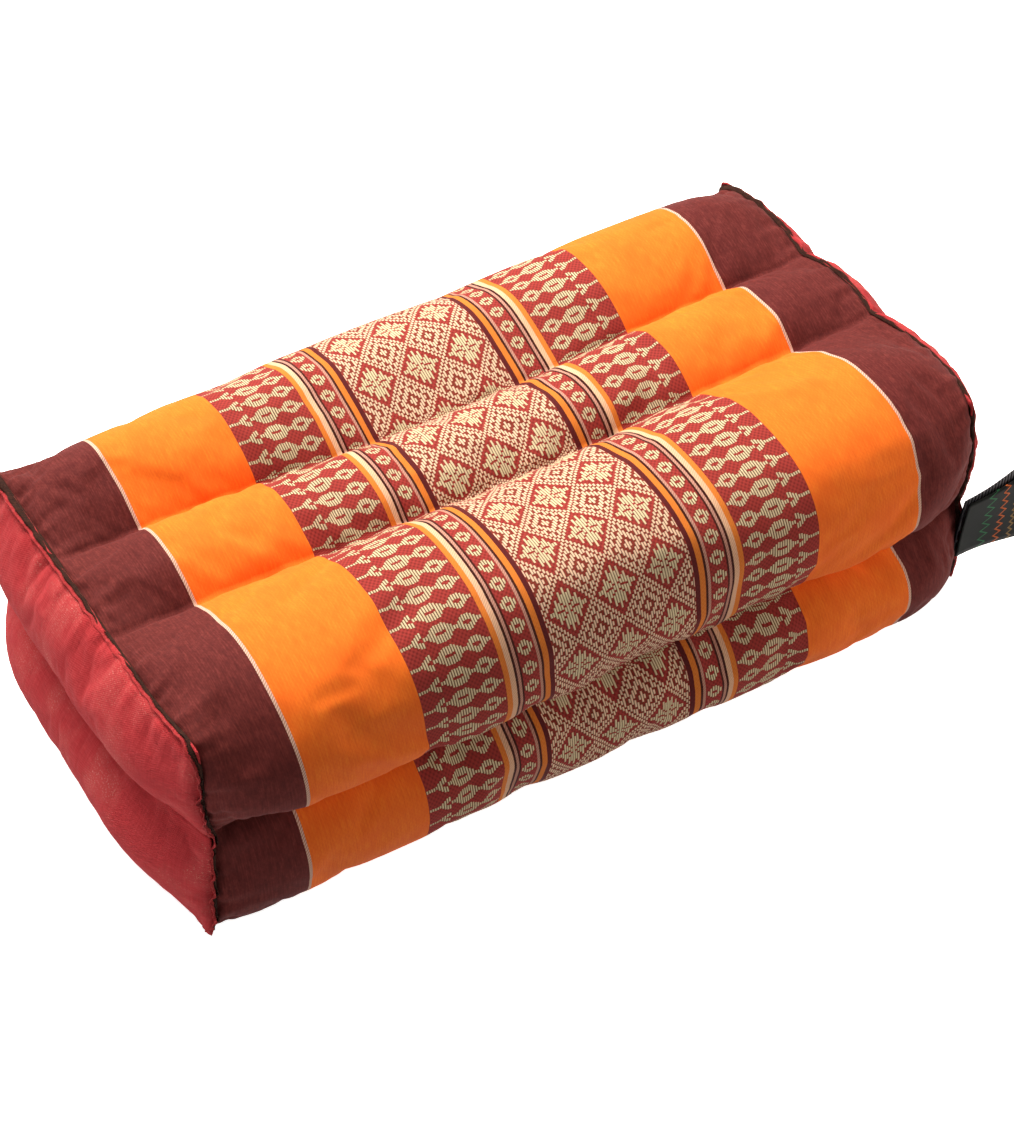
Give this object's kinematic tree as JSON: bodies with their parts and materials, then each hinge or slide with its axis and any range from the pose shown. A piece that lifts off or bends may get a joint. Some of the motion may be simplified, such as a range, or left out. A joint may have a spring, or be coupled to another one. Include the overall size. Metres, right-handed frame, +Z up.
{
  "type": "block meditation cushion",
  "caption": "Rectangular block cushion of stuffed tubes in a striped woven cover with sewn channels, plain end panels and a folded side label.",
  "frame": {"origin": "on the floor under the middle of the cover's middle tube, where the cushion rests", "axes": "+X along the tubes, towards the end with the label; +Y from the label's side to the back; +Z up, as the cushion lies"},
  "size_m": [0.4115, 0.2112, 0.1201],
  "materials": {
    "cover_cloth": "striped and figured cotton weave",
    "panel_cloth": "plain cotton weave",
    "label_ribbon": "satin ribbon"
  },
  "bodies": {
    "root": {"cushion_body": "cover_cloth", "end_panel_left": "panel_cloth", "end_panel_right": "panel_cloth", "label_tag": "label_ribbon"}
  },
  "joints": []
}
